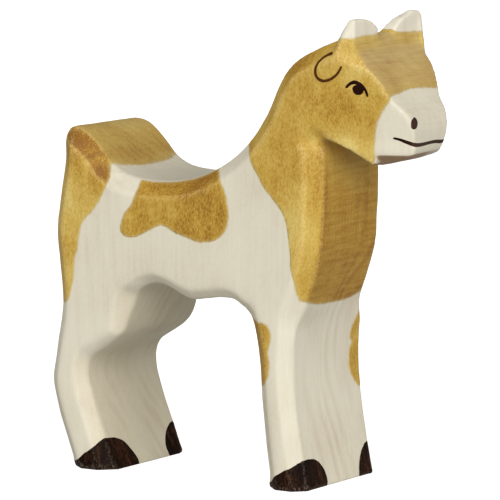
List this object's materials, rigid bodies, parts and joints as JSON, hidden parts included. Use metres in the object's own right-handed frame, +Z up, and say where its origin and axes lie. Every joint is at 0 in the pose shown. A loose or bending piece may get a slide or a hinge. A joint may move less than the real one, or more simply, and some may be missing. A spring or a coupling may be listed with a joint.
{
  "type": "wooden goat kid figure",
  "caption": "Standing goat kid figure carved from a solid wooden board, with chamfered edges, notched ears and thin coats of stain and paint.",
  "frame": {"origin": "on the ground under the middle of the figure's length and thickness", "axes": "+X towards the nose, +Y towards the animal's left side, +Z up"},
  "size_m": [0.0686, 0.0254, 0.0787],
  "materials": {
    "maple": "whitewashed, satin",
    "ochre_stain": "ochre stain with visible grain, satin",
    "hoof_stain": "dark brown stain, satin",
    "brush_paint": "matt brush line"
  },
  "bodies": {
    "root": {"wood_body": "maple", "neck_coat": "ochre_stain", "back_patch_right": "ochre_stain", "back_patch_left": "ochre_stain", "rump_coat": "ochre_stain", "leg_spot_right": "ochre_stain", "leg_spot_left": "ochre_stain", "hoof_front_right": "hoof_stain", "hoof_front_left": "hoof_stain", "hoof_hind_right": "hoof_stain", "hoof_hind_left": "hoof_stain", "eye_right": "brush_paint", "eye_left": "brush_paint", "ear_line_right": "brush_paint", "ear_line_left": "brush_paint", "nostril_right": "brush_paint", "nostril_left": "brush_paint", "mouth_line": "brush_paint"}
  },
  "joints": []
}
